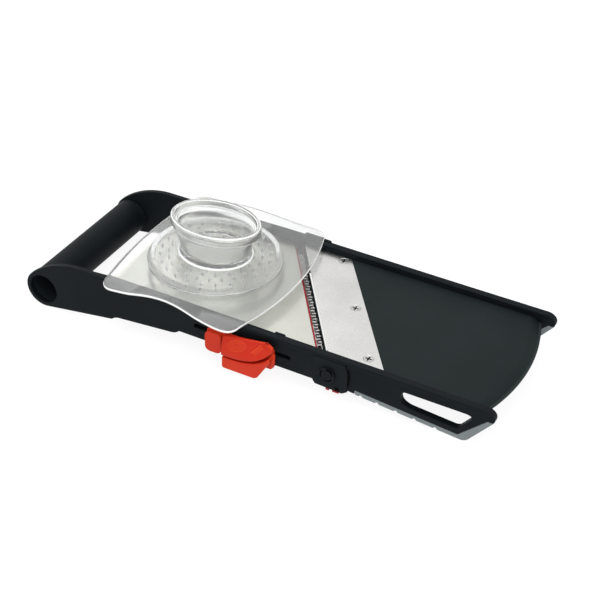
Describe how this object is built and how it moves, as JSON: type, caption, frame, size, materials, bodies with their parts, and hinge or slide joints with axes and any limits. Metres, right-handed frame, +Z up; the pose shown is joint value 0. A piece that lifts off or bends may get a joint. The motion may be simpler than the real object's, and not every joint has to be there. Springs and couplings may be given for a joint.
{
  "type": "mandoline slicer",
  "caption": "Adjustable hand mandoline: side rails with a tube handle, sloping blade over a rising runway, julienne combs, sliding thickness lock, foot strips and a clear hand guard.",
  "frame": {"origin": "centre of the bounding box on the surface the slicer stands on", "axes": "+X from the handle to the output end, +Y across to the far side, +Z up; the rails slope down 2.27 degrees towards +X"},
  "size_m": [0.3818, 0.151, 0.0787],
  "materials": {
    "frame_black": "fine moulded texture",
    "tray_black": "smooth matte",
    "mechanism_black": "plain moulded",
    "blade_steel": "fine brushed, ground edge",
    "runway_steel": "brushed",
    "fastener_steel": "bright plated",
    "red_plastic": "satin gloss",
    "carrier_red": "satin",
    "foot_rubber": "soft matte",
    "clear_plastic": "clear, polished"
  },
  "bodies": {
    "frame": {"near_side_rail": "frame_black", "far_side_rail": "frame_black", "handle_tube": "frame_black", "front_cross_beam": "frame_black", "output_tray": "tray_black", "blade_bed": "frame_black", "blade_plate": "blade_steel", "blade_screw_far": "fastener_steel", "blade_screw_middle": "fastener_steel", "blade_screw_near": "fastener_steel", "near_foot_strip": "foot_rubber", "far_foot_strip": "foot_rubber", "detent_spring": "fastener_steel"},
    "runway": {"runway_plate": "runway_steel", "runway_carrier": "mechanism_black", "lift_rod_front": "fastener_steel", "lift_rod_rear": "fastener_steel"},
    "slider": {"slider_body": "red_plastic", "near_cam_bar": "mechanism_black", "far_cam_bar": "mechanism_black", "cam_cross_link": "mechanism_black", "lever_pin": "fastener_steel"},
    "lever": {"slider_lever": "red_plastic"},
    "fine_comb_set": {"fine_comb": "blade_steel", "fine_comb_carrier": "carrier_red"},
    "coarse_comb_set": {"coarse_comb": "blade_steel", "coarse_comb_carrier": "carrier_red"},
    "selector": {"selector_knob": "mechanism_black", "selector_cam": "mechanism_black", "selector_clip": "fastener_steel"},
    "guard": {"guard_plate": "clear_plastic", "guard_spike_disc": "clear_plastic", "guard_cup": "clear_plastic"}
  },
  "joints": [
    {"name": "thickness_slide", "type": "slide", "parent": "frame", "child": "slider", "axis": [0.9992, 0, -0.0396], "range_m": [-0.016, 0.018]},
    {"name": "runway_lift", "type": "slide", "parent": "frame", "child": "runway", "axis": [0.0396, 0, 0.9992], "range_m": [-0.0022, 0.002]},
    {"name": "lever_press", "type": "hinge", "parent": "slider", "child": "lever", "pos_m": [-0.00911, -0.068, 0.02242], "axis": [0, 1, 0], "range_deg": [0, 2.2], "stiffness_Nm_per_rad": 0.6},
    {"name": "selector_turn", "type": "hinge", "parent": "frame", "child": "selector", "pos_m": [0.06717, -0.064, 0.02039], "axis": [0, -1, 0], "range_deg": [0, 122]},
    {"name": "fine_comb_lift", "type": "slide", "parent": "frame", "child": "fine_comb_set", "axis": [0.0396, 0, 0.9992], "range_m": [0, 0.0046]},
    {"name": "coarse_comb_lift", "type": "slide", "parent": "frame", "child": "coarse_comb_set", "axis": [0.0396, 0, 0.9992], "range_m": [0, 0.0047]},
    {"name": "guard_slide", "type": "slide", "parent": "frame", "child": "guard", "axis": [0.9992, 0, -0.0396], "range_m": [-0.03, 0.17]}
  ],
  "couplings": [
    {"joint": "runway_lift", "follows": "thickness_slide", "ratio": -0.12},
    {"joint": "selector_turn", "follows": "fine_comb_lift", "rad_per_m": 455.3},
    {"joint": "coarse_comb_lift", "follows": "fine_comb_lift", "ratio": 1}
  ]
}
